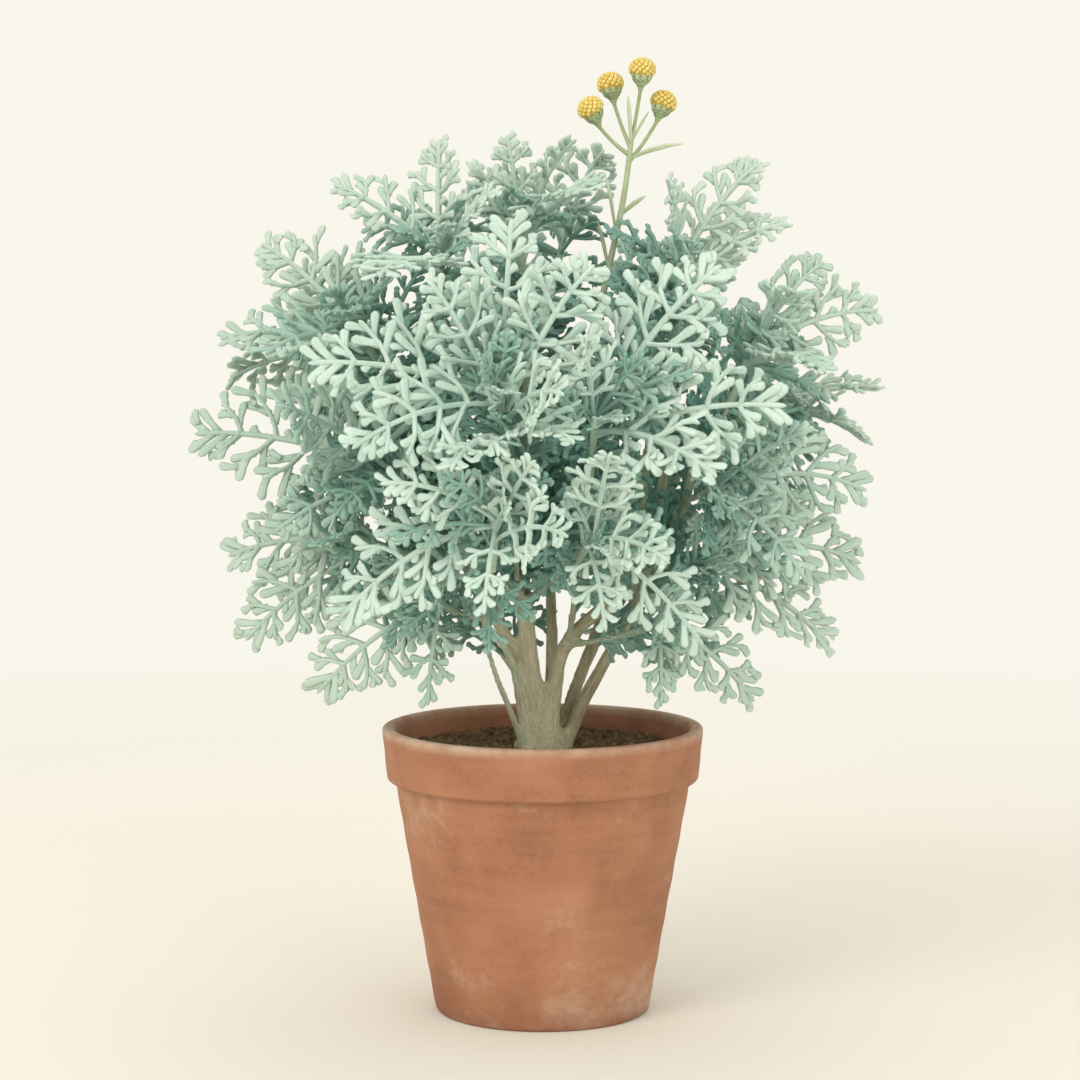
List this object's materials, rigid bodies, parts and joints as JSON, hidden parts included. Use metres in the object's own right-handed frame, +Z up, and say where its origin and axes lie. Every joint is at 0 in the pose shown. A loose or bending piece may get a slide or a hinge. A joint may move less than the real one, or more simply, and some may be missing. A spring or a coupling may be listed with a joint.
{
  "type": "potted plant",
  "caption": "Potted tree wormwood: a rounded shrub of finely cut silver-green fronds on woody stems, with a stalk of yellow button flowers, in a plain round clay pot.",
  "frame": {"origin": "middle of the plant's outline seen from above, on the plane that the pot stands on, which is within a few millimetres of the pot's axis", "axes": "+Z up along the pot's axis, -Y towards the viewer of the picture, +X to the right"},
  "size_m": [0.3798, 0.3523, 0.5286],
  "materials": {
    "pot": "matte",
    "soil": "rough",
    "bark": "rough",
    "leaves": "felted",
    "stalk": "matte",
    "flowers": "matte"
  },
  "bodies": {
    "root": {"pot": "pot", "soil": "soil", "woody_stems": "bark", "leafy_shoot_front_upper": "leaves", "leafy_shoot_front_lower": "leaves", "leafy_shoot_front_centre": "leaves", "leafy_shoot_front_high": "leaves", "leafy_shoot_left_middle": "leaves", "leafy_shoot_left_upper": "leaves", "leafy_shoot_top_left": "leaves", "leafy_shoot_top": "leaves", "leafy_shoot_top_right": "leaves", "leafy_shoot_right_upper": "leaves", "leafy_shoot_right_middle": "leaves", "leafy_shoot_right_front": "leaves", "leafy_shoot_right_lower": "leaves", "leafy_shoot_low_right": "leaves", "leafy_shoot_low_left": "leaves", "leafy_shoot_left_lower": "leaves", "leafy_shoot_top_back": "leaves", "leafy_shoot_back_left_upper": "leaves", "leafy_shoot_back_upper": "leaves", "leafy_shoot_back_right_upper": "leaves", "leafy_shoot_back_left_middle": "leaves", "leafy_shoot_back_middle": "leaves", "leafy_shoot_back_right_middle": "leaves", "leafy_shoot_back_low_left": "leaves", "leafy_shoot_back_low_right": "leaves", "flower_stalk": "stalk", "flower_head_1": "flowers", "flower_head_2": "flowers", "flower_head_3": "flowers", "flower_head_4": "flowers"}
  },
  "joints": []
}
